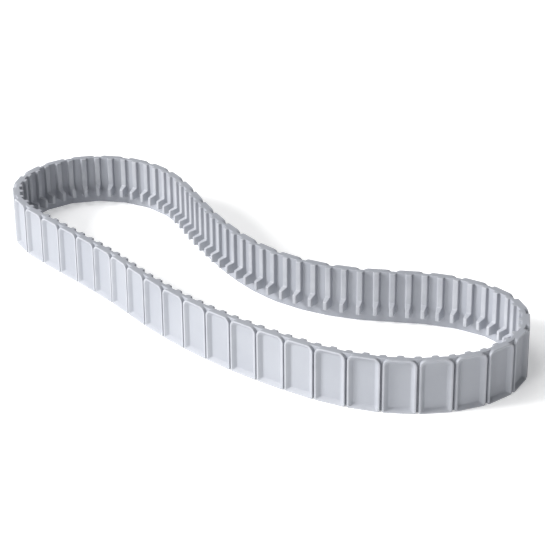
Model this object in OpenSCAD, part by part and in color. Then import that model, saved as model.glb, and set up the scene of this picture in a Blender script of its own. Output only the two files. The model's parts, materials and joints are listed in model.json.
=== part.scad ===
// Toothed rubber track, lying free on its edge as a closed loop.
//
// The track is one endless moulding that bends only at its thin webs, between
// one pad and the next.  It is built here as its links: each link is one web,
// the recessed pad on its outer face, and two drive teeth with their guide lugs
// on its inner face.  A link ends in a round nose that turns in the next link's
// seat, on a hinge line in the middle of the web.
//
// Frame: millimetres, +Z up.  The track stands on Z = 0 on its lower edge, and
// X runs along the loop's longest extent.  The origin is the middle of the
// loop's box, on that floor.

/* [Belt] */
// Width of the belt, which is its height as it stands on edge
belt_width = 42; // [38:0.5:48]
// Distance between two hinge lines, which is the length of one link
pad_pitch = 25; // [24:0.5:27]
// Thickness of the web
web_thickness = 3.2; // [2.8:0.1:3.6]

/* [Pads on the outer face] */
// Height of a pad's rim above the floor of its recess
rim_height = 2.7; // [2:0.1:3]
// Gap between two pads where they leave the web
slit_at_web = 0.6; // [0.5:0.05:0.8]
// Gap between two pads at the top of their rims
slit_at_rim = 1; // [0.95:0.05:1.4]
// Radius of a pad's two upper corners
pad_corner = 5; // [3:0.25:6]
// Radius of a pad's two lower corners
foot_corner = 1.5; // [1:0.25:3]
// Width of the rim's top along the two sides of a slit
side_rim = 1.4; // [1:0.1:2]
// Width of the rim's top along the two edges of the belt
edge_rim = 1; // [0.8:0.1:2]
// How far the recess's walls beside a slit slope in
side_slope = 2.7; // [2:0.1:5]
// How far the recess's walls beside an edge slope in
edge_slope = 2.4; // [2:0.1:4]
// Size of the recess's two upper cut corners
recess_chamfer = 3; // [2:0.2:5]
// Size of the recess's two lower cut corners
foot_chamfer = 1.2; // [0.8:0.2:3]

/* [Teeth on the inner face] */
// Height of a drive tooth above the web
tooth_height = 2.6; // [2:0.1:3.5]
// Width of a drive tooth at the web
tooth_root = 5.8; // [5:0.1:8]
// Width of a drive tooth at its top
tooth_top = 4.2; // [3:0.1:5]
// Height of a guide lug above the web
lug_height = 8.8; // [6:0.1:9.5]
// Width of a guide lug where it leaves the web
lug_root = 5; // [4:0.1:7]
// Width of a guide lug at its top
lug_top = 3; // [2:0.1:3.5]
// Plain strip of web below the teeth and lugs
lug_lift = 8.4; // [5:0.1:12]
// Length of a guide lug's top along the belt's width
lug_length = 7; // [5:0.1:9]
// How much longer a lug is where it meets its tooth
lug_shoulder = 2; // [1:0.1:3]

/* [Hinges] */
// Running clearance between a nose and its seat, on the radius
hinge_clearance = 0.05; // [0.03:0.01:0.08]
// Furthest that a hinge can fold towards the teeth
fold_in = 31; // [29:1:34]
// Furthest that a hinge can fold towards the pads
fold_out = 13; // [12:1:15]

/* [Lie of the loop] */
// Direction of the first link from the X axis
start_heading = -7; // [-10:0.5:-4]

/* [Hidden] */
// Every name is one link of the loop, so the names set how many there are.
LINKS = 48;

// How sharply the loop bends at chosen hinges, in degrees from one link to the
// next, read off in straight lines between them.  A bend is positive towards
// the teeth.
BENDS = [
    [0, 1.5], [4, -3.5], [6, 3], [12, 3],                   // near run
    [14, 10], [17, 14], [19, 19.5], [22, 20.5], [25, 9],    // right lobe
    [27, -9], [30, -9.5], [32, -5], [35, -2],               // reverse bend
    [37, 6], [39, 16], [42, 24.5], [46, 21], [48, 1.5]      // left lobe
];
CLOSING_ROUNDS = 6;     // corrections that close the loop to a micron
RADIAN = 180 / PI;      // in degrees
RUBBER = [0.74, 0.76, 0.80];
ROUND_FN = 64;          // facets of a round face
OVERLAP = 0.2;          // by which joined shapes run into each other
REACH = 30;             // longer than any cut through a link

half_web = web_thickness / 2;
seat_radius = half_web + hinge_clearance;
rim_y = -half_web - rim_height;
tooth_y = half_web + tooth_height;
lug_y = half_web + lug_height;

// ---- The loop -------------------------------------------------------------

function link_name(i) = str("link_", i < 10 ? "0" : "", i);

function sum(values, i = 0) =
    i == len(values) ? 0 : values[i] + sum(values, i + 1);

// The heading of every link, from the bends as chosen, which are made up
// equally so that they come to one full turn.
make_up = (360 - sum([for (k = [0:LINKS - 1]) lookup(k, BENDS)])) / LINKS;
chosen_headings = [
    for (k = 0, heading = start_heading; k < LINKS;
         k = k + 1, heading = heading + lookup(k, BENDS) + make_up)
        heading
];

// The same headings with the ends of the chain brought together: each link is
// turned by a * cos + b * sin of its own heading.  It takes a few rounds.
function closed(headings, rounds) =
    rounds == 0 ? headings :
    let (
        c = [for (h = headings) cos(h)],
        s = [for (h = headings) sin(h)],
        gap_x = sum(c),
        gap_y = sum(s),
        det = (c * s) * (c * s) - (c * c) * (s * s),
        a = (gap_x * (c * s) + gap_y * (s * s)) / det * RADIAN,
        b = -(gap_y * (c * s) + gap_x * (c * c)) / det * RADIAN
    )
    closed([for (h = headings) h + a * cos(h) + b * sin(h)], rounds - 1);

headings = closed(chosen_headings, CLOSING_ROUNDS);

// The hinge point at the start of every link, from the first one.
hinges = [
    for (k = 0, x = 0, y = 0; k < LINKS;
         x = x + pad_pitch * cos(headings[k]),
         y = y + pad_pitch * sin(headings[k]), k = k + 1)
        [x, y]
];

// The outer corners of every pad's rim, which are the loop's outermost points.
function turned(point, angle) = [
    point.x * cos(angle) - point.y * sin(angle),
    point.x * sin(angle) + point.y * cos(angle)
];
corners = [
    for (k = [0:LINKS - 1], x = [slit_at_rim / 2, pad_pitch - slit_at_rim / 2])
        hinges[k] + turned([x, rim_y], headings[k])
];
corner_xs = [for (corner = corners) corner.x];
corner_ys = [for (corner = corners) corner.y];
middle = [max(corner_xs) + min(corner_xs), max(corner_ys) + min(corner_ys)] / 2;

// ---- One link, with its first hinge line on the Z axis ----------------------
// X runs along the web to the next hinge line, and the teeth are towards +Y.

module round_nose() {
    translate([pad_pitch, 0, 0])
        cylinder(r = half_web, h = belt_width, $fn = ROUND_FN);
}

module web() {
    translate([0, -half_web, 0])
        cube([pad_pitch, web_thickness, belt_width]);
    round_nose();
}

// Room for the nose of the link before, and for its web at every fold.
module hinge_room() {
    top = [cos(90 - fold_in), sin(90 - fold_in)];
    foot = [cos(90 - fold_out), -sin(90 - fold_out)];
    translate([0, 0, -OVERLAP])
        linear_extrude(belt_width + 2 * OVERLAP) {
            circle(r = seat_radius, $fn = ROUND_FN);
            polygon([
                [0, 0],
                seat_radius * top,
                seat_radius * top + REACH * [-top.y, top.x],
                seat_radius * foot + REACH * [foot.y, -foot.x],
                seat_radius * foot
            ]);
        }
}

// A flat shape in X and Z, made as thick as the rim and set outside the web.
module through_rim(depth = rim_height) {
    translate([0, -half_web + OVERLAP, 0])
        rotate([90, 0, 0])
            linear_extrude(depth + 2 * OVERLAP)
                children();
}

// A rectangle with one corner radius at its foot and a larger one at its top.
module rounded_rectangle(size, foot, top) {
    translate([top, 0])
        square([size.x - 2 * top, size.y]);
    translate([foot, 0])
        square([size.x - 2 * foot, size.y - top]);
    translate([0, foot])
        square([size.x, size.y - foot - top]);
    for (x = [foot, size.x - foot])
        translate([x, foot])
            circle(r = foot, $fn = ROUND_FN);
    for (x = [top, size.x - top])
        translate([x, size.y - top])
            circle(r = top, $fn = ROUND_FN);
}

// The pad as a block, narrower towards the top of its rim.
module pad_block() {
    at_web = slit_at_web / 2;
    at_rim = slit_at_rim / 2;
    intersection() {
        linear_extrude(belt_width)
            polygon([
                [at_web, -half_web + OVERLAP],
                [at_web, -half_web],
                [at_rim, rim_y],
                [pad_pitch - at_rim, rim_y],
                [pad_pitch - at_web, -half_web],
                [pad_pitch - at_web, -half_web + OVERLAP]
            ]);
        translate([at_web, 0])
            through_rim()
                rounded_rectangle(
                    [pad_pitch - slit_at_web, belt_width], foot_corner, pad_corner
                );
    }
}

// The recess: a floor on the web, four sloping walls and four cut corners.
module pad_recess() {
    mouth_x = slit_at_rim / 2 + side_rim;
    floor_x = mouth_x + side_slope;
    mouth_z = edge_rim;
    floor_z = mouth_z + edge_slope;
    side_run = side_slope / rim_height;
    edge_run = edge_slope / rim_height;
    above = 1;      // how far the cut runs out of the rim
    open_x = mouth_x - above * side_run;
    open_z = mouth_z - above * edge_run;
    far_x = pad_pitch - mouth_x;
    far_z = belt_width - mouth_z;
    cut = recess_chamfer;
    low_cut = foot_chamfer;
    intersection() {
        linear_extrude(belt_width)
            polygon([
                [floor_x, -half_web],
                [open_x, rim_y - above],
                [pad_pitch - open_x, rim_y - above],
                [pad_pitch - floor_x, -half_web]
            ]);
        rotate([90, 0, 90])
            linear_extrude(pad_pitch)
                polygon([
                    [-half_web, floor_z],
                    [rim_y - above, open_z],
                    [rim_y - above, belt_width - open_z],
                    [-half_web, belt_width - floor_z]
                ]);
        through_rim(rim_height + above)
            polygon([
                [mouth_x, mouth_z + low_cut], [mouth_x + low_cut, mouth_z],
                [far_x - low_cut, mouth_z], [far_x, mouth_z + low_cut],
                [far_x, far_z - cut], [far_x - cut, far_z],
                [mouth_x + cut, far_z], [mouth_x, far_z - cut]
            ]);
    }
}

module pad() {
    difference() {
        pad_block();
        pad_recess();
    }
}

// A bar across the belt whose width falls from root to top, centred on X = 0.
module tapered_bar(root, top, top_y, length) {
    linear_extrude(length)
        polygon([
            [-root / 2, half_web - OVERLAP],
            [root / 2, half_web - OVERLAP],
            [root / 2, half_web],
            [top / 2, top_y],
            [-top / 2, top_y],
            [-root / 2, half_web]
        ]);
}

module drive_tooth() {
    translate([0, 0, lug_lift])
        tapered_bar(tooth_root, tooth_top, tooth_y, belt_width - lug_lift);
}

// A lug whose upper end slopes up to the tooth behind it.
module guide_lug() {
    slope = lug_shoulder / (lug_y - tooth_y);
    intersection() {
        translate([0, 0, lug_lift])
            tapered_bar(lug_root, lug_top, lug_y, belt_width - lug_lift);
        translate([-lug_root, 0, lug_lift])
            rotate([90, 0, 90])
                linear_extrude(2 * lug_root)
                    polygon([
                        [0, 0],
                        [lug_y, 0],
                        [lug_y, lug_length],
                        [0, lug_length + slope * lug_y]
                    ]);
    }
}

module link(i) {
    color(RUBBER)
        translate(hinges[i - 1] - middle)
            rotate(headings[i - 1])
                difference() {
                    union() {
                        web();
                        pad();
                        for (x = [0, pad_pitch / 2])
                            translate([x, 0, 0]) {
                                drive_tooth();
                                guide_lug();
                            }
                    }
                    hinge_room();
                }
}

// ---- What is drawn ----------------------------------------------------------

for (i = [1:LINKS])
    link(i);
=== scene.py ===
"""Looks of the toothed rubber track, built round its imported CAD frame.

The track stands on its lower edge as a closed loop of 48 links.  Every link is
dressed with one moulded pad piece, which is the web, the recessed pad outside
it and the drive tooth in its middle, and with one tooth piece that sits over
the web where the link starts.  Sizes are in metres, in the CAD frame, but
where a class says otherwise.
"""

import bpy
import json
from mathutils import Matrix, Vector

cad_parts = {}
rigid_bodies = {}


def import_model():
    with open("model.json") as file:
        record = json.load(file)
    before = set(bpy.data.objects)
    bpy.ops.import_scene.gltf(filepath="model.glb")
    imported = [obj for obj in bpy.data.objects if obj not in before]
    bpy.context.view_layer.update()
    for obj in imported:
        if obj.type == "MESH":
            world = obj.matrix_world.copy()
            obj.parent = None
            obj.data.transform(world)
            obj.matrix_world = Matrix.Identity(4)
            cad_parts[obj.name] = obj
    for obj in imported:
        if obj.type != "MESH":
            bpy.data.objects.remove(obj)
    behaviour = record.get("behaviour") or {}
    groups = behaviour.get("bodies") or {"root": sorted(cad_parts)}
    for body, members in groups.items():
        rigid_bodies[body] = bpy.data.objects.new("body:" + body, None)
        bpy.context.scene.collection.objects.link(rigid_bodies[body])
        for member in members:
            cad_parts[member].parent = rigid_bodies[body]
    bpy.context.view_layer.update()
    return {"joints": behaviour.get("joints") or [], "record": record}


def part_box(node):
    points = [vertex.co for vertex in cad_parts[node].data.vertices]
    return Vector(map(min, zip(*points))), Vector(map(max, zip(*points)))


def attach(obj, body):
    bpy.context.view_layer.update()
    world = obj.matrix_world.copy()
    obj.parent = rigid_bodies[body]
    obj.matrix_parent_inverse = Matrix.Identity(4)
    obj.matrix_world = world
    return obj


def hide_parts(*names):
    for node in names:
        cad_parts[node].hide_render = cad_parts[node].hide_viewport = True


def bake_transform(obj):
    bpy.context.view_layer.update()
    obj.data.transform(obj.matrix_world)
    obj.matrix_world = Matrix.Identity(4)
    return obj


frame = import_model()

import json
import logging
import math
from dataclasses import dataclass, field
from enum import Enum

import bpy
import numpy as np
from mathutils import Matrix, Vector

MM = 0.001
SHARP_ANGLE = math.radians(42)
LARGEST_SHARE = 0.48
LOG = logging.getLogger("track")
Array = np.ndarray


class Side(Enum):
    """The two ways in which a web can be followed from its hinge."""

    BACK = -1
    AHEAD = 1


class Wear(Enum):
    """How much the raised rubber is rubbed pale, at the values a mesh stores."""

    FRESH = 0.0
    RUBBED = 1.0


class Sum(Enum):
    """The sums that the finish works out, under the names that the nodes know them by."""

    TIMES = "MULTIPLY"
    TIMES_PLUS = "MULTIPLY_ADD"


# ---- Surfaces ---------------------------------------------------------------


@dataclass
class Shell:
    """One closed surface: its points, its faces of four and three sides, and its wear."""

    points: Array
    quads: Array
    triangles: Array
    wear: Array

    def moved(self, place: Array, shift: Array) -> "Shell":
        """Turn every point by the 3x3 matrix `place`, then add `shift`.

        Args:
            place: 3x3 turning matrix.
            shift: x, y and z to add.

        Returns:
            A new shell with the same faces.
        """
        return Shell(self.points @ place.T + shift, self.quads, self.triangles, self.wear)


def loft(rings: Array, centres: Array, wear: Array) -> Shell:
    """Join rings of points into a tube, and close each end with a fan.

    Point j of ring i is joined to point j + 1 of the same ring and to the same
    two points of ring i + 1.  Each end ring is joined to one point inside it.

    Args:
        rings: Points, shaped (rings, points in a ring, 3).
        centres: The two points that close the ends, shaped (2, 3).
        wear: Wear at each ring point, shaped (rings, points in a ring).

    Returns:
        The closed shell.
    """
    count, around = rings.shape[:2]
    index = np.arange(count * around).reshape(count, around)
    after = np.roll(index, -1, axis=1)
    quads = np.stack([index[:-1], after[:-1], after[1:], index[1:]], -1).reshape(-1, 4)
    first, last = count * around, count * around + 1
    start = np.stack([after[0], index[0], np.full(around, first)], -1)
    end = np.stack([index[-1], after[-1], np.full(around, last)], -1)
    points = np.concatenate([rings.reshape(-1, 3), centres])
    levels = np.concatenate([wear.ravel(), [wear[0].mean(), wear[-1].mean()]])
    return Shell(points, quads, np.concatenate([start, end]), levels)


def outward(shell: Shell) -> Shell:
    """Turn the faces over if the shell's signed volume is negative.

    The volume is the sum over all triangles a, b, c of a . (b x c) / 6.

    Args:
        shell: A closed shell.

    Returns:
        The shell with its faces pointing outwards.
    """
    split = np.concatenate([shell.quads[:, [0, 1, 2]], shell.quads[:, [0, 2, 3]], shell.triangles])
    a, b, c = (shell.points[split[:, i]] for i in range(3))
    if np.einsum("ij,ij->", a, np.cross(b, c)) < 0:
        return Shell(shell.points, shell.quads[:, ::-1], shell.triangles[:, ::-1], shell.wear)
    return shell


def make_piece(name: str, shells: list[Shell], material: bpy.types.Material) -> bpy.types.Object:
    """Write closed shells into one mesh object at the origin.

    Args:
        name: Name of the piece.
        shells: Its closed surfaces, in the CAD frame.
        material: The finish of all of them.

    Returns:
        The new object, linked into the scene.
    """
    shells = [outward(shell) for shell in shells]
    starts = np.cumsum([0] + [len(shell.points) for shell in shells])[:-1]
    points = np.concatenate([shell.points for shell in shells])
    quads = np.concatenate([shell.quads + at for shell, at in zip(shells, starts)])
    triangles = np.concatenate([shell.triangles + at for shell, at in zip(shells, starts)])
    corners = np.concatenate([quads.ravel(), triangles.ravel()])
    begins = np.concatenate(
        [np.arange(len(quads)) * 4, len(quads) * 4 + np.arange(len(triangles)) * 3]
    )
    mesh = bpy.data.meshes.new(name)
    mesh.vertices.add(len(points))
    mesh.vertices.foreach_set("co", points.astype(np.float32).ravel())
    mesh.loops.add(len(corners))
    mesh.loops.foreach_set("vertex_index", corners.astype(np.int32))
    mesh.polygons.add(len(begins))
    mesh.polygons.foreach_set("loop_start", begins.astype(np.int32))
    mesh.update(calc_edges=True)
    mesh.polygons.foreach_set("use_smooth", np.ones(len(begins), bool))
    mesh.set_sharp_from_angle(angle=SHARP_ANGLE)
    level = mesh.attributes.new("wear", "FLOAT", "POINT")
    level.data.foreach_set("value", np.concatenate([s.wear for s in shells]).astype(np.float32))
    mesh.materials.append(material)
    piece = bpy.data.objects.new(name, mesh)
    bpy.context.scene.collection.objects.link(piece)
    return piece


def rounded_rectangle(low: Array, high: Array, radius: Array, arc: int, side: int) -> Array:
    """Points round a rectangle with rounded corners, for many rectangles at once.

    Each corner is a quarter circle, centre + radius * (cos a, sin a), and each
    straight side is read off evenly between two corners.

    Args:
        low: Lower corner of each rectangle, shaped (n, 2).
        high: Upper corner of each rectangle, shaped (n, 2).
        radius: Radius of each corner, from lower right round to lower left, shaped (n, 4).
        arc: Steps in each corner.
        side: Points between two corners.

    Returns:
        Points shaped (n, 4 * (arc + 1 + side), 2).
    """
    lower_right = np.stack([high[:, 0], low[:, 1]], -1)
    upper_left = np.stack([low[:, 0], high[:, 1]], -1)
    corners = np.stack([lower_right, high, upper_left, low], 1)
    inwards = np.array([[-1, 1], [-1, -1], [1, -1], [1, 1]])
    centres = corners + inwards * radius[..., None]
    angles = np.linspace(0, math.pi / 2, arc + 1) + (np.arange(4)[:, None] - 1) * math.pi / 2
    ring = np.stack([np.cos(angles), np.sin(angles)], -1)
    arcs = centres[:, :, None] + radius[..., None, None] * ring
    share = (np.arange(side) + 1)[:, None] / (side + 1)
    ends, starts = arcs[:, :, -1:], np.roll(arcs, -1, axis=1)[:, :, :1]
    sides = ends * (1 - share) + starts * share
    return np.concatenate([arcs, sides], 2).reshape(len(low), -1, 2)


def turned(angle: float) -> Array:
    """Matrix that turns a point about the Z axis.

    Args:
        angle: Angle in radians.

    Returns:
        The 3x3 matrix.
    """
    c, s = math.cos(angle), math.sin(angle)
    return np.array([[c, -s, 0.0], [s, c, 0.0], [0.0, 0.0, 1.0]])


def softened(corners: Array, reach: Array, steps: int) -> Array:
    """Round the inner corners of many polylines with parabolas.

    Around corner C the line leaves its run at `reach` before C and joins the
    next run at `reach` after it: (1-t)^2 P + 2t(1-t) C + t^2 Q.  No curve takes
    more than the largest share of a run, so that two never meet.

    Args:
        corners: Polylines, shaped (n, corners, 2).
        reach: How far each inner corner's curve reaches, shaped (inner corners,).
        steps: Points on each curve.

    Returns:
        Points shaped (n, 2 + inner corners * steps, 2).
    """
    here, before, after = corners[:, 1:-1], corners[:, :-2], corners[:, 2:]
    back, ahead = before - here, after - here
    back_len = np.linalg.norm(back, axis=-1, keepdims=True)
    ahead_len = np.linalg.norm(ahead, axis=-1, keepdims=True)
    wide = reach[None, :, None]
    p = here + back / back_len * np.minimum(wide, back_len * LARGEST_SHARE)
    q = here + ahead / ahead_len * np.minimum(wide, ahead_len * LARGEST_SHARE)
    t = np.linspace(0, 1, steps)[None, None, :, None]
    curve = (1 - t) ** 2 * p[:, :, None] + 2 * t * (1 - t) * here[:, :, None]
    curve = curve + t**2 * q[:, :, None]
    curve = curve.reshape(len(corners), -1, 2)
    return np.concatenate([corners[:, :1], curve, corners[:, -1:]], 1)


# ---- The loop -----------------------------------------------------------------


@dataclass
class Link:
    """Where one link lies: its first hinge point, its heading and the folds at its two ends."""

    number: int
    start: Array
    heading: float
    fold_start: float
    fold_end: float

    @property
    def node(self) -> str:
        """Name of the link's CAD node.

        Returns:
            The name.
        """
        return f"link_{self.number:02d}"

    def turn(self, extra: float = 0.0) -> Array:
        """Matrix that turns the link's own axes into the frame's.

        Args:
            extra: Angle to add to the heading, in radians.

        Returns:
            The 3x3 matrix.
        """
        return turned(self.heading + extra)

    def along(self, distance: float) -> Array:
        """A point on the line between the link's two hinges.

        Args:
            distance: How far the point is from the first hinge.

        Returns:
            The point, at floor level.
        """
        return self.start + distance * turned(self.heading)[:, 0]


@dataclass
class Loop:
    """The lie of the loop, worked out from the same bends as the CAD part."""

    pitch: float = 25 * MM
    links: int = 48
    start_heading: float = -7.0
    rim_depth: float = 4.3 * MM
    rim_gap: float = 1.0 * MM
    closing_rounds: int = 6
    bends: tuple[tuple[float, float], ...] = (
        (0, 1.5), (4, -3.5), (6, 3), (12, 3),
        (14, 10), (17, 14), (19, 19.5), (22, 20.5), (25, 9),
        (27, -9), (30, -9.5), (32, -5), (35, -2),
        (37, 6), (39, 16), (42, 24.5), (46, 21), (48, 1.5),
    )  # fmt: skip

    def headings(self) -> Array:
        """Heading of every link in radians.

        The bends are read off in straight lines between the stated ones, and
        each gets an equal share of what they lack to one full turn.  The loop
        is then closed: with headings h, each is turned by a cos h + b sin h,
        where a and b bring the chain's end back to its start, a few times over.

        Returns:
            The headings, one for each link.
        """
        places, bends = np.array(self.bends).T
        steps = np.interp(np.arange(self.links), places, bends)
        share = (360 - steps.sum()) / self.links
        later = np.interp(np.arange(1, self.links), places, bends) + share
        h = np.radians(self.start_heading + np.concatenate([[0.0], np.cumsum(later)]))
        for _ in range(self.closing_rounds):
            c, s = np.cos(h), np.sin(h)
            cs, cc, ss = c @ s, c @ c, s @ s
            det = cs * cs - cc * ss
            a = (c.sum() * cs + s.sum() * ss) / det
            b = -(s.sum() * cs + c.sum() * cc) / det
            h = h + a * c + b * s
        return h

    def lay(self) -> list[Link]:
        """Place every link, with the middle of the loop's box on the Z axis.

        Returns:
            The links in order.
        """
        h = self.headings()
        ahead = np.stack([np.cos(h), np.sin(h)], -1)
        aside = np.stack([-np.sin(h), np.cos(h)], -1)
        points = np.concatenate([[[0.0, 0.0]], np.cumsum(ahead * self.pitch, 0)[:-1]])
        ends = np.array([self.rim_gap / 2, self.pitch - self.rim_gap / 2])
        outer = points[:, None] + ahead[:, None] * ends[:, None] - aside[:, None] * self.rim_depth
        points = points - (outer.max((0, 1)) + outer.min((0, 1))) / 2
        folds = (h - np.roll(h, 1) + math.pi) % (2 * math.pi) - math.pi
        later = np.roll(folds, -1)
        return [
            Link(k + 1, np.append(points[k], 0.0), float(h[k]), float(folds[k]), float(later[k]))
            for k in range(self.links)
        ]


# ---- The moulding ---------------------------------------------------------------


@dataclass
class Web:
    """The thin band between the teeth and the pads, one link long, curved over its two hinges.

    The stations are where its outlines stand, in millimetres from a hinge.
    """

    pitch: float = 25 * MM
    thickness: float = 3.2 * MM
    width: float = 42 * MM
    edge_round: float = 0.5 * MM
    edge_lift: float = 0.03 * MM
    curve: float = 3.2 * MM
    hinge_stations: tuple[float, ...] = (0.0, 0.4, 0.8, 1.3, 1.9, 2.6, 3.2, 4.2)
    middle_stations: tuple[float, ...] = (9.0, 12.5, 16.0)
    tongue_stations: tuple[float, ...] = (0.02, 0.4, 0.8)
    tongue_ease: float = 0.02 * MM
    arc: int = 5
    side: int = 3

    def sway(self, distance: Array, fold: float) -> Array:
        """How far the web's middle leaves the straight line near a hinge.

        With reach R, it is tan(fold / 2) * (R - distance)^2 / (2 R) inside R,
        so two links meet in line with each other.

        Args:
            distance: Distance from the hinge.
            fold: Fold at that hinge, in radians.

        Returns:
            The sway towards the teeth.
        """
        inside = np.clip(self.curve - distance, 0, None)
        return math.tan(fold / 2) * inside**2 / (2 * self.curve)

    def half(self) -> float:
        """Half the web's thickness.

        Returns:
            The distance from the hinge line's level to either face.
        """
        return self.thickness / 2

    def section(self, ease: float) -> Array:
        """The web's outline across Y and Z, with rounded corners.

        Args:
            ease: How much smaller it is made all round.

        Returns:
            Points shaped (n, 2).
        """
        low = np.array([[-self.half() + ease, self.edge_lift + ease]])
        high = np.array([[self.half() - ease, self.width - self.edge_lift - ease]])
        radius = np.full((1, 4), self.edge_round)
        return rounded_rectangle(low, high, radius, self.arc, self.side)[0]

    def ring(self, distance: float, fold: float, side: Side, ease: float = 0.0) -> Array:
        """One outline, skewed so that it lies in the hinge's mitre plane at the hinge.

        A point at height y goes to x = distance + y tan(fold / 2) (1 - d / R)^2,
        where d is the distance and R the web's curve, and past R it stays put.

        Args:
            distance: Distance of the outline from the hinge.
            fold: Fold at the hinge, in radians.
            side: Whether the outline lies before or after the hinge.
            ease: How much smaller the outline is.

        Returns:
            Points with their x counted from the hinge, shaped (n, 3).
        """
        outline = self.section(ease)
        share = max(0.0, 1 - distance / self.curve) ** 2
        skew = outline[:, 0] * math.tan(fold / 2) * share
        x = side.value * (distance + skew)
        y = outline[:, 0] + self.sway(np.array(distance), fold)
        return np.stack([x, y, outline[:, 1]], -1)

    def shell(self, link: Link) -> Shell:
        """The web of one link, with a short tongue that runs on round its far hinge.

        Args:
            link: The link.

        Returns:
            The closed shell, in the link's own axes.
        """
        near = np.array(self.hinge_stations) * MM
        between = np.array(self.middle_stations) * MM
        beyond = np.array(self.tongue_stations) * MM
        far_hinge = np.array([self.pitch, 0, 0])
        turn = turned(link.fold_end)
        start = [self.ring(d, link.fold_start, Side.AHEAD) for d in near]
        middle = [self.ring(d, 0.0, Side.AHEAD) for d in between]
        end = [self.ring(d, link.fold_end, Side.BACK) + far_hinge for d in near[::-1]]
        tongue = [self.ring(d, link.fold_end, Side.AHEAD, self.tongue_ease) for d in beyond]
        tongue = [ring @ turn.T + far_hinge for ring in tongue]
        rings = np.array(start + middle + end + tongue)
        centres = np.stack([rings[0].mean(0), rings[-1].mean(0)])
        return loft(rings, centres, np.full(rings.shape[:2], Wear.FRESH.value))


@dataclass
class Pad:
    """The recessed pad outside the web: outer wall, thin rim, steep inner wall and flat floor."""

    pitch: float = 25 * MM
    width: float = 42 * MM
    web_half: float = 1.6 * MM
    rim_height: float = 2.7 * MM
    root_depth: float = 2.9 * MM
    slit_at_web: float = 0.6 * MM
    slit_at_rim: float = 1.0 * MM
    side_rim: float = 1.4 * MM
    edge_rim: float = 1.0 * MM
    side_run: float = 2.7 * MM
    edge_run: float = 2.4 * MM
    rounding: tuple[float, ...] = (0.2 * MM, 0.35 * MM, 0.3 * MM, 0.7 * MM)
    upper_corners: tuple[float, ...] = (5.0 * MM, 4.2 * MM, 2.4 * MM, 1.2 * MM)
    lower_corners: tuple[float, ...] = (1.5 * MM, 1.2 * MM, 1.0 * MM, 0.8 * MM)
    floor_proud: float = 0.02 * MM
    floor_reach: float = 5.0 * MM
    steps: int = 5
    arc: int = 8
    side: int = 3

    def profile(self) -> tuple[Array, Array, Array]:
        """The pad's cross-section, from inside the web over the rim to its floor.

        It is one line with five straight runs, which are rounded into each
        other by parabolas: outer wall below the web, outer wall, rim, inner
        wall and floor.

        Returns:
            How far each ring is set in beside a slit, how far beside an edge of
            the belt, and its height above the web.
        """
        top, low = self.rim_height, self.floor_proud
        gap, mouth = self.slit_at_web / 2, self.slit_at_rim / 2 + self.side_rim
        heights = np.array([-self.root_depth, 0.0, top, top, low, low])
        foot = mouth + self.side_run
        across = np.array([gap, gap, self.slit_at_rim / 2, mouth, foot, foot + self.floor_reach])
        foot = self.edge_rim + self.edge_run
        upright = np.array([0.0, 0.0, 0.0, self.edge_rim, foot, foot + self.floor_reach])
        lines = np.stack([np.stack([across, heights], -1), np.stack([upright, heights], -1)])
        side, edge = softened(lines, np.array(self.rounding), self.steps)
        return side[:, 0], edge[:, 0], side[:, 1]

    def shell(self) -> Shell:
        """The pad, carried round a rounded rectangle ring by ring.

        A corner's radius is read off between those of the outer wall, the
        recess's mouth, its foot and its floor.  With r the height as a share
        of the rim's, the wear is (r - 0.75) / 0.25.

        Returns:
            The closed shell, in the link's own axes.
        """
        side, edge, height = self.profile()
        low = np.stack([side, edge], -1)
        high = np.array([self.pitch, self.width]) - low
        foot = self.edge_rim + self.edge_run
        places = [0.0, self.edge_rim, foot, foot + self.floor_reach]
        upper = np.interp(edge, places, self.upper_corners)
        lower = np.interp(edge, places, self.lower_corners)
        radius = np.stack([lower, upper, upper, lower], -1)
        flat = rounded_rectangle(low, high, radius, self.arc, self.side)
        y = np.broadcast_to((-self.web_half - height)[:, None], flat.shape[:2])
        rings = np.stack([flat[..., 0], y, flat[..., 1]], -1)
        middle = np.array([self.pitch / 2, 0.0, self.width / 2])
        centres = np.array([middle + [0, y[0, 0], 0], middle + [0, y[-1, 0], 0]])
        worn = np.clip((height / self.rim_height - 0.75) / 0.25, Wear.FRESH.value, Wear.RUBBED.value)
        return loft(rings, centres, np.broadcast_to(worn[:, None], flat.shape[:2]))


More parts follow.
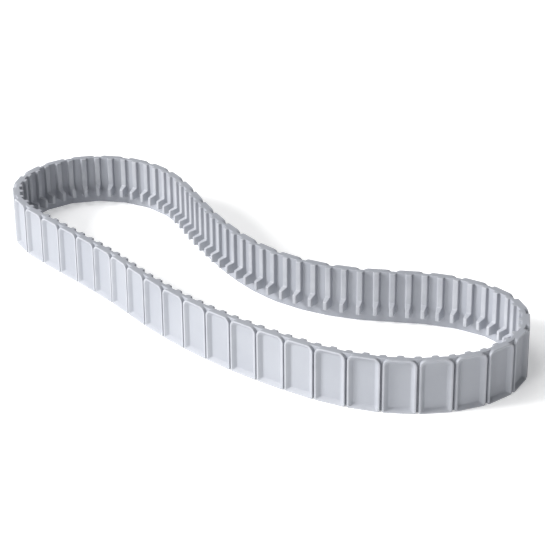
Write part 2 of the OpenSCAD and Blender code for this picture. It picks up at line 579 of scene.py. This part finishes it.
@dataclass
class Tooth:
    """A drive tooth across the belt, with the guide lug that rises from its lower end.

    The margins keep the sections of the lug's top and of the tooth's own
    top straight up to the rounded shoulder between them.
    """

    web: Web = field(default_factory=Web)
    height: float = 2.6 * MM
    root: float = 5.8 * MM
    top: float = 4.2 * MM
    lug_height: float = 8.8 * MM
    lug_root: float = 5.0 * MM
    lug_top: float = 3.0 * MM
    lift: float = 8.4 * MM
    lug_length: float = 7.0 * MM
    shoulder: float = 2.0 * MM
    end_round: float = 0.45 * MM
    upper_end: float = 41.95 * MM
    spread: float = 0.6 * MM
    sunk: float = 0.16 * MM
    depth: float = 1.0 * MM
    lug_margin: float = 1.0 * MM
    top_margin: float = 2.0 * MM
    lug_rounding: tuple[float, ...] = (0.8 * MM, 1.1 * MM)
    rounding: tuple[float, ...] = (0.55 * MM, 0.5 * MM, 0.7 * MM)
    steps: int = 6
    end_steps: int = 4

    def web_level(self, x: Array, fold: float) -> Array:
        """Height of the web's inner face at x, either side of a hinge that folds by `fold`.

        Inside the web's curve of reach R it is t (x^2 + R^2) / (2 R) above the
        straight web's, with t = tan(fold / 2), and outside it t |x|.

        Args:
            x: Distance from the tooth's middle.
            fold: Fold under the tooth, in radians.

        Returns:
            The heights.
        """
        t, reach = math.tan(fold / 2), self.web.curve
        near = t * (x**2 + reach**2) / (2 * reach)
        return self.web.half() + np.where(np.abs(x) < reach, near, t * np.abs(x))

    def stations(self) -> tuple[Array, Array, Array]:
        """Where the sections stand along the belt's width.

        Returns:
            Z of each section, how much it is inset at the rounded ends, and how
            far it has gone from lug (0) to tooth (1).
        """
        angle = np.linspace(0, math.pi / 2, self.end_steps)
        end_z = self.end_round * (1 - np.cos(angle))
        end_in = self.end_round * (1 - np.sin(angle))
        knee = self.lift + self.lug_length
        side = np.array(
            [
                [self.lift + self.lug_margin, 0.0],
                [knee, 0.0],
                [knee + self.shoulder, 1.0],
                [self.upper_end - self.top_margin, 1.0],
            ]
        )
        scale = np.array([1.0, self.lug_height - self.height])
        fall = softened(side[None] * scale, np.array(self.lug_rounding), self.steps)[0] / scale
        z = np.concatenate([self.lift + end_z, fall[:, 0], self.upper_end - end_z[::-1]])
        inset = np.concatenate([end_in, np.zeros(len(fall)), end_in[::-1]])
        gone = np.concatenate([np.zeros(self.end_steps), fall[:, 1], np.ones(self.end_steps)])
        return z, inset, gone

    def shell(self, fold: float) -> Shell:
        """The tooth and its lug, over a web that folds by `fold` under it.

        Each section is a line from under the web up one flank, over the top
        and down the other, with its corners rounded by parabolas.  With r the
        height above the web as a share of the section's, the wear is 2.5 r - 1.5.

        Args:
            fold: Fold of the web under the tooth, in radians.

        Returns:
            The closed shell, with its middle at x = 0 and the hinge line at y = 0.
        """
        z, inset, gone = self.stations()
        level = self.web.half()
        tip_y = level + self.lug_height + (self.height - self.lug_height) * gone - inset
        tip_x = (self.lug_top + (self.top - self.lug_top) * gone) / 2 - inset
        at_knee = self.lug_root + (self.lug_top - self.lug_root) * self.height / self.lug_height
        middle = (self.root + self.top) / 2
        knee_x = (at_knee + (middle - at_knee) * gone) / 2 - inset
        knee_y = level + self.height * (1 - 0.5 * gone) - inset * 0.5
        foot_x = self.root / 2 - inset
        foot_y = self.web_level(foot_x, fold)
        out_x = foot_x + self.spread
        out_y = self.web_level(out_x, fold) - self.sunk
        half = np.stack(
            [
                np.stack([out_x, out_y], -1),
                np.stack([foot_x, foot_y], -1),
                np.stack([knee_x, knee_y], -1),
                np.stack([tip_x, tip_y], -1),
                np.stack([np.zeros_like(tip_x), tip_y], -1),
            ],
            1,
        )
        right = softened(half, np.array(self.rounding), self.steps)
        left = right[:, -2::-1] * np.array([-1.0, 1.0])
        deep = np.full(len(z), self.depth)
        base = np.stack([np.stack([-out_x, deep], -1), np.stack([out_x, deep], -1)], 1)
        section = np.concatenate([right, left, base], 1)
        along = np.broadcast_to(z[:, None], section.shape[:2])
        rings = np.concatenate([section, along[..., None]], -1)
        rise = (section[..., 1] - level) / (tip_y - level)[:, None]
        wear = np.clip(rise * 2.5 - 1.5, Wear.FRESH.value, Wear.RUBBED.value)
        centres = np.array([[0, level, z[0]], [0, level, z[-1]]])
        return loft(rings, centres, wear)


# ---- Finishes --------------------------------------------------------------------


@dataclass
class NodeBoard:
    """A material's nodes, with short ways of adding the kinds that the finish needs."""

    material: bpy.types.Material
    place: bpy.types.NodeSocket = field(init=False)

    def __post_init__(self) -> None:
        """Add the node that gives a point's place on its piece."""
        self.place = self.add("ShaderNodeTexCoord").outputs["Object"]

    def add(self, kind: str) -> bpy.types.Node:
        """Add one node.

        Args:
            kind: Blender's name for the kind of node.

        Returns:
            The node.
        """
        return self.material.node_tree.nodes.new(kind)

    def join(self, source: bpy.types.NodeSocket, target: bpy.types.NodeSocket) -> None:
        """Join an output to an input.

        Args:
            source: The output.
            target: The input.
        """
        self.material.node_tree.links.new(source, target)

    def noise(self, scale: float, detail: float, rough: float) -> bpy.types.NodeSocket:
        """A noise over the piece.

        Args:
            scale: How many spots there are to a metre.
            detail: How many finer layers it has.
            rough: How strong the finer layers are.

        Returns:
            The output, about 0 to 1.
        """
        node = self.add("ShaderNodeTexNoise")
        node.inputs["Scale"].default_value = scale
        node.inputs["Detail"].default_value = detail
        node.inputs["Roughness"].default_value = rough
        self.join(self.place, node.inputs["Vector"])
        return node.outputs["Fac"]

    def spread(
        self, source: bpy.types.NodeSocket, span: tuple[float, float], to: tuple[float, float]
    ) -> bpy.types.NodeSocket:
        """Map one span of values onto another, and keep the result inside it.

        Args:
            source: The value.
            span: Where the value runs from and to.
            to: What that becomes.

        Returns:
            The mapped value.
        """
        node = self.add("ShaderNodeMapRange")
        node.inputs["From Min"].default_value = span[0]
        node.inputs["From Max"].default_value = span[1]
        node.inputs["To Min"].default_value = to[0]
        node.inputs["To Max"].default_value = to[1]
        self.join(source, node.inputs["Value"])
        return node.outputs["Result"]

    def work_out(
        self, kind: Sum, first: bpy.types.NodeSocket, others: tuple[object, ...]
    ) -> bpy.types.NodeSocket:
        """Work out a sum of two or three values.

        Args:
            kind: The sum.
            first: The first value.
            others: The others, each an output or a number.

        Returns:
            The result.
        """
        node = self.add("ShaderNodeMath")
        node.operation = kind.value
        self.join(first, node.inputs[0])
        for socket, value in zip(list(node.inputs)[1:], others):
            if isinstance(value, bpy.types.NodeSocket):
                self.join(value, socket)
            else:
                socket.default_value = value
        return node.outputs[0]

    def mix(
        self, share: bpy.types.NodeSocket, first: object, second: tuple[float, float, float]
    ) -> bpy.types.NodeSocket:
        """Blend from one colour to another.

        Args:
            share: How far it goes towards the second, 0 to 1.
            first: An output or a colour.
            second: A colour.

        Returns:
            The blended colour.
        """
        node = self.add("ShaderNodeMix")
        node.data_type = "RGBA"
        self.join(share, node.inputs[0])
        if isinstance(first, bpy.types.NodeSocket):
            self.join(first, node.inputs[6])
        else:
            node.inputs[6].default_value = (*first, 1.0)
        node.inputs[7].default_value = (*second, 1.0)
        return node.outputs[2]

    def bump(
        self,
        height: bpy.types.NodeSocket,
        strength: float,
        depth: float,
        under: bpy.types.NodeSocket | None = None,
    ) -> bpy.types.NodeSocket:
        """Make the surface look uneven.

        Args:
            height: The unevenness, 0 to 1.
            strength: How much of it is used.
            depth: How deep it is, in metres.
            under: Another bump that it lies on.

        Returns:
            The surface direction.
        """
        node = self.add("ShaderNodeBump")
        node.inputs["Strength"].default_value = strength
        node.inputs["Distance"].default_value = depth
        self.join(height, node.inputs["Height"])
        if under is not None:
            self.join(under, node.inputs["Normal"])
        return node.outputs["Normal"]


@dataclass(frozen=True)
class RubberFinish:
    """Moulded grey rubber: cool, satin, faintly mottled, paler where it is rubbed."""

    name: str = "rubber"
    base: tuple[float, float, float] = (0.335, 0.348, 0.382)
    shade: tuple[float, float, float] = (0.285, 0.298, 0.335)
    rubbed: tuple[float, float, float] = (0.385, 0.397, 0.430)
    roughness: float = 0.52
    roughness_spread: float = 0.10
    specular: float = 0.42
    sheen: float = 0.06
    sheen_roughness: float = 0.6
    mottle_scale: float = 62.0
    mottle_share: float = 0.55
    cloud_scale: float = 11.0
    cloud_share: float = 0.5
    grain_scale: float = 2600.0
    grain_strength: float = 0.5
    grain_depth: float = 0.00006
    ripple_scale: float = 240.0
    ripple_strength: float = 0.35
    ripple_depth: float = 0.00010

    def tone(self, board: NodeBoard, mottle: bpy.types.NodeSocket) -> bpy.types.NodeSocket:
        """The rubber's colour.

        It runs from shade to base with mottle share * mottle + cloud share *
        cloud, and on to the rubbed colour with the mesh's wear, which the
        mottle breaks up.

        Args:
            board: The material's nodes.
            mottle: The finer noise.

        Returns:
            The colour.
        """
        cloud = board.noise(self.cloud_scale, 3.0, 0.5)
        cloud = board.spread(cloud, (0.3, 0.7), (0.0, self.cloud_share))
        tone = board.work_out(Sum.TIMES_PLUS, mottle, (self.mottle_share, cloud))
        colour = board.mix(board.spread(tone, (0.2, 0.8), (0.0, 1.0)), self.shade, self.base)
        wear = board.add("ShaderNodeAttribute")
        wear.attribute_name = "wear"
        patches = board.spread(mottle, (0.35, 0.6), (0.35, 1.0))
        broken = board.work_out(Sum.TIMES, wear.outputs["Fac"], (patches,))
        return board.mix(broken, colour, self.rubbed)

    def relief(self, board: NodeBoard) -> bpy.types.NodeSocket:
        """The rubber's unevenness, a fine grain over a slight ripple.

        Args:
            board: The material's nodes.

        Returns:
            The surface direction.
        """
        waves = board.noise(self.ripple_scale, 3.0, 0.5)
        ripple = board.bump(waves, self.ripple_strength, self.ripple_depth)
        grains = board.noise(self.grain_scale, 2.0, 0.6)
        return board.bump(grains, self.grain_strength, self.grain_depth, ripple)

    def build(self) -> bpy.types.Material:
        """Make the node material.

        Returns:
            The material.
        """
        material = bpy.data.materials.new(self.name)
        material.use_nodes = True
        board = NodeBoard(material)
        shader = material.node_tree.nodes["Principled BSDF"]
        shader.inputs["Specular IOR Level"].default_value = self.specular
        shader.inputs["Sheen Weight"].default_value = self.sheen
        shader.inputs["Sheen Roughness"].default_value = self.sheen_roughness
        mottle = board.noise(self.mottle_scale, 6.0, 0.62)
        span = (self.roughness - self.roughness_spread, self.roughness + self.roughness_spread)
        board.join(self.tone(board, mottle), shader.inputs["Base Color"])
        board.join(board.spread(mottle, (0.3, 0.7), span), shader.inputs["Roughness"])
        board.join(self.relief(board), shader.inputs["Normal"])
        return material


# ---- The track ------------------------------------------------------------------------


@dataclass
class Track:
    """The whole track: a pad piece and a tooth piece for every link."""

    loop: Loop = field(default_factory=Loop)
    web: Web = field(default_factory=Web)
    pad: Pad = field(default_factory=Pad)
    tooth: Tooth = field(default_factory=Tooth)
    finish: RubberFinish = field(default_factory=RubberFinish)
    slot: str = "rubber"
    bend_zone: float = 0.3 * MM
    tooth_zone: float = 6.0 * MM
    lie_slack: float = 8.0 * MM

    def bodies(self) -> dict[str, str]:
        """Find the CAD body that each link's node belongs to.

        Returns:
            Body names by node name.
        """
        groups = frame["record"]["behaviour"]["bodies"]
        return {node: body for body, nodes in groups.items() for node in nodes}

    def check_lie(self, links: list[Link]) -> None:
        """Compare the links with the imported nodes, and stop if they lie elsewhere.

        A node's box reaches past its web for the pad and the lugs, so its
        middle is some millimetres off the middle of the web.

        Args:
            links: The links as laid.

        Raises:
            ValueError: If a link isn't where its CAD node is.
        """
        worst = 0.0
        for link in links:
            low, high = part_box(link.node)
            middle = (np.array(low) + np.array(high)) / 2
            away = np.linalg.norm((middle - link.along(self.loop.pitch / 2))[:2])
            worst = max(worst, float(away))
        LOG.info("links lie within %.2f mm of their nodes' box middles", worst / MM)
        if worst > self.lie_slack:
            raise ValueError("the loop isn't laid as the CAD part is")

    def dress(self, piece: bpy.types.Object, bodies: tuple[str, str]) -> None:
        """Let a piece ride on one body, or, where two joined bodies meet in it, bake its placing
        into its points and leave it on no body.

        Args:
            piece: The piece.
            bodies: The bodies before and after the hinge in the piece.
        """
        before, after = bodies
        joined = any({before, after} == {j["parent"], j["child"]} for j in frame["joints"])
        if before != after and joined:
            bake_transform(piece)
        else:
            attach(piece, before)
        LOG.info("%s: %d points", piece.name, len(piece.data.vertices))

    def build(self) -> None:
        """Make every piece."""
        links = self.loop.lay()
        self.check_lie(links)
        material = self.finish.build()
        body = self.bodies()
        pad = self.pad.shell()
        centre = self.tooth.shell(0.0).moved(np.eye(3), np.array([self.loop.pitch / 2, 0, 0]))
        far = self.loop.pitch
        for link, following, previous in zip(links, links[1:] + links[:1], links[-1:] + links[:-1]):
            parts = (self.web.shell(link), pad, centre)
            shells = [part.moved(link.turn(), link.start) for part in parts]
            piece = make_piece(f"pad_{link.number:02d}", shells, material)
            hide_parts(link.node)
            bend = (link.along(far - self.bend_zone), link.along(far + self.bend_zone))
            self.dress(piece, (body[link.node], body[following.node]))

            bisector = link.turn(-link.fold_start / 2)
            over = self.tooth.shell(link.fold_start).moved(bisector, link.start)
            piece = make_piece(f"tooth_{link.number:02d}", [over], material)
            ahead = bisector[:, 0] * self.tooth_zone
            bend = (link.start - ahead, link.start + ahead)
            self.dress(piece, (body[previous.node], body[link.node]))


# ---- The studio -------------------------------------------------------------------------


@dataclass
class Lamp:
    """A soft square lamp: where it stands, what it looks at, its side and its power."""

    name: str
    place: tuple[float, float, float]
    target: tuple[float, float, float]
    side: float
    power: float
    colour: tuple[float, float, float] = (1.0, 1.0, 1.0)

    def build(self) -> None:
        """Put the lamp into the scene."""
        light = bpy.data.lights.new(self.name, "AREA")
        light.shape = "SQUARE"
        light.size = self.side
        light.energy = self.power
        light.color = self.colour
        lamp = bpy.data.objects.new(self.name, light)
        lamp.location = self.place
        away = Vector(self.place) - Vector(self.target)
        lamp.rotation_euler = away.to_track_quat("Z", "Y").to_euler()
        bpy.context.scene.collection.objects.link(lamp)


@dataclass
class Studio:
    """A plain pale floor, soft light from the left, the front and above, and the camera.

    Lengths are in metres, but for the lens and the sensor, which are in
    millimetres; angles are in degrees.
    """

    floor_side: float = 14.0
    floor_colour: tuple[float, float, float] = (0.93, 0.93, 0.93)
    floor_glow: float = 0.34
    floor_roughness: float = 0.9
    floor_specular: float = 0.1
    ambient: float = 0.22
    ambient_colour: tuple[float, float, float] = (0.95, 0.97, 1.0)
    camera_place: tuple[float, float, float] = (0.86307, -1.01615, 0.63964)
    camera_pitch: float = 24.841
    camera_turn: float = 39.206
    camera_roll: float = -0.517
    lens: float = 122.5
    sensor: float = 36.0
    furthest: float = 30.0
    lamps: tuple[Lamp, ...] = (
        Lamp("key", (-4.3, -4.7, 3.6), (0.0, 0.0, 0.0), 2.2, 585.0, (1.0, 0.998, 0.99)),
        Lamp("fill", (0.4, -5.5, 2.2), (0.0, 0.0, 0.0), 2.0, 135.0, (1.0, 0.995, 0.98)),
        Lamp("top", (-0.9, -0.8, 2.8), (0.0, 0.0, 0.0), 2.0, 40.0),
    )

    def floor(self) -> None:
        """Lay the floor, a wide plane at Z = 0 that glows faintly, as a light table does."""
        half = self.floor_side / 2
        mesh = bpy.data.meshes.new("floor")
        corners = [(-half, -half, 0), (half, -half, 0), (half, half, 0), (-half, half, 0)]
        mesh.from_pydata(corners, [], [(0, 1, 2, 3)])
        material = bpy.data.materials.new("floor")
        material.use_nodes = True
        shader = material.node_tree.nodes["Principled BSDF"]
        shader.inputs["Base Color"].default_value = (*self.floor_colour, 1.0)
        shader.inputs["Emission Color"].default_value = (*self.floor_colour, 1.0)
        shader.inputs["Emission Strength"].default_value = self.floor_glow
        shader.inputs["Roughness"].default_value = self.floor_roughness
        shader.inputs["Specular IOR Level"].default_value = self.floor_specular
        mesh.materials.append(material)
        plane = bpy.data.objects.new("floor", mesh)
        bpy.context.scene.collection.objects.link(plane)

    def world(self) -> None:
        """Fill the surroundings with even pale light."""
        world = bpy.data.worlds.new("surroundings")
        world.use_nodes = True
        background = world.node_tree.nodes["Background"]
        background.inputs["Color"].default_value = (*self.ambient_colour, 1.0)
        background.inputs["Strength"].default_value = self.ambient
        bpy.context.scene.world = world

    def camera(self) -> None:
        """Set up the camera at its viewing angle.

        It is turned about Z, tipped down from level, and rolled about its own
        line of sight.
        """
        data = bpy.data.cameras.new("camera")
        data.lens = self.lens
        data.sensor_width = self.sensor
        data.clip_end = self.furthest
        camera = bpy.data.objects.new("camera", data)
        turn = Matrix.Rotation(math.radians(self.camera_turn), 3, "Z")
        tip = Matrix.Rotation(math.radians(90 - self.camera_pitch), 3, "X")
        roll = Matrix.Rotation(math.radians(self.camera_roll), 3, "Z")
        camera.rotation_euler = (turn @ tip @ roll).to_euler()
        camera.location = self.camera_place
        bpy.context.scene.collection.objects.link(camera)
        bpy.context.scene.camera = camera

    def build(self) -> None:
        """Make the floor, the light and the camera."""
        self.floor()
        self.world()
        self.camera()
        for lamp in self.lamps:
            lamp.build()
        bpy.context.scene.view_settings.view_transform = "Standard"


def main() -> None:
    """Build the track and the studio."""
    logging.basicConfig(level=logging.INFO, format="%(name)s: %(message)s")
    Track().build()
    Studio().build()
    bpy.context.view_layer.update()


if __name__ == "__main__":
    main()
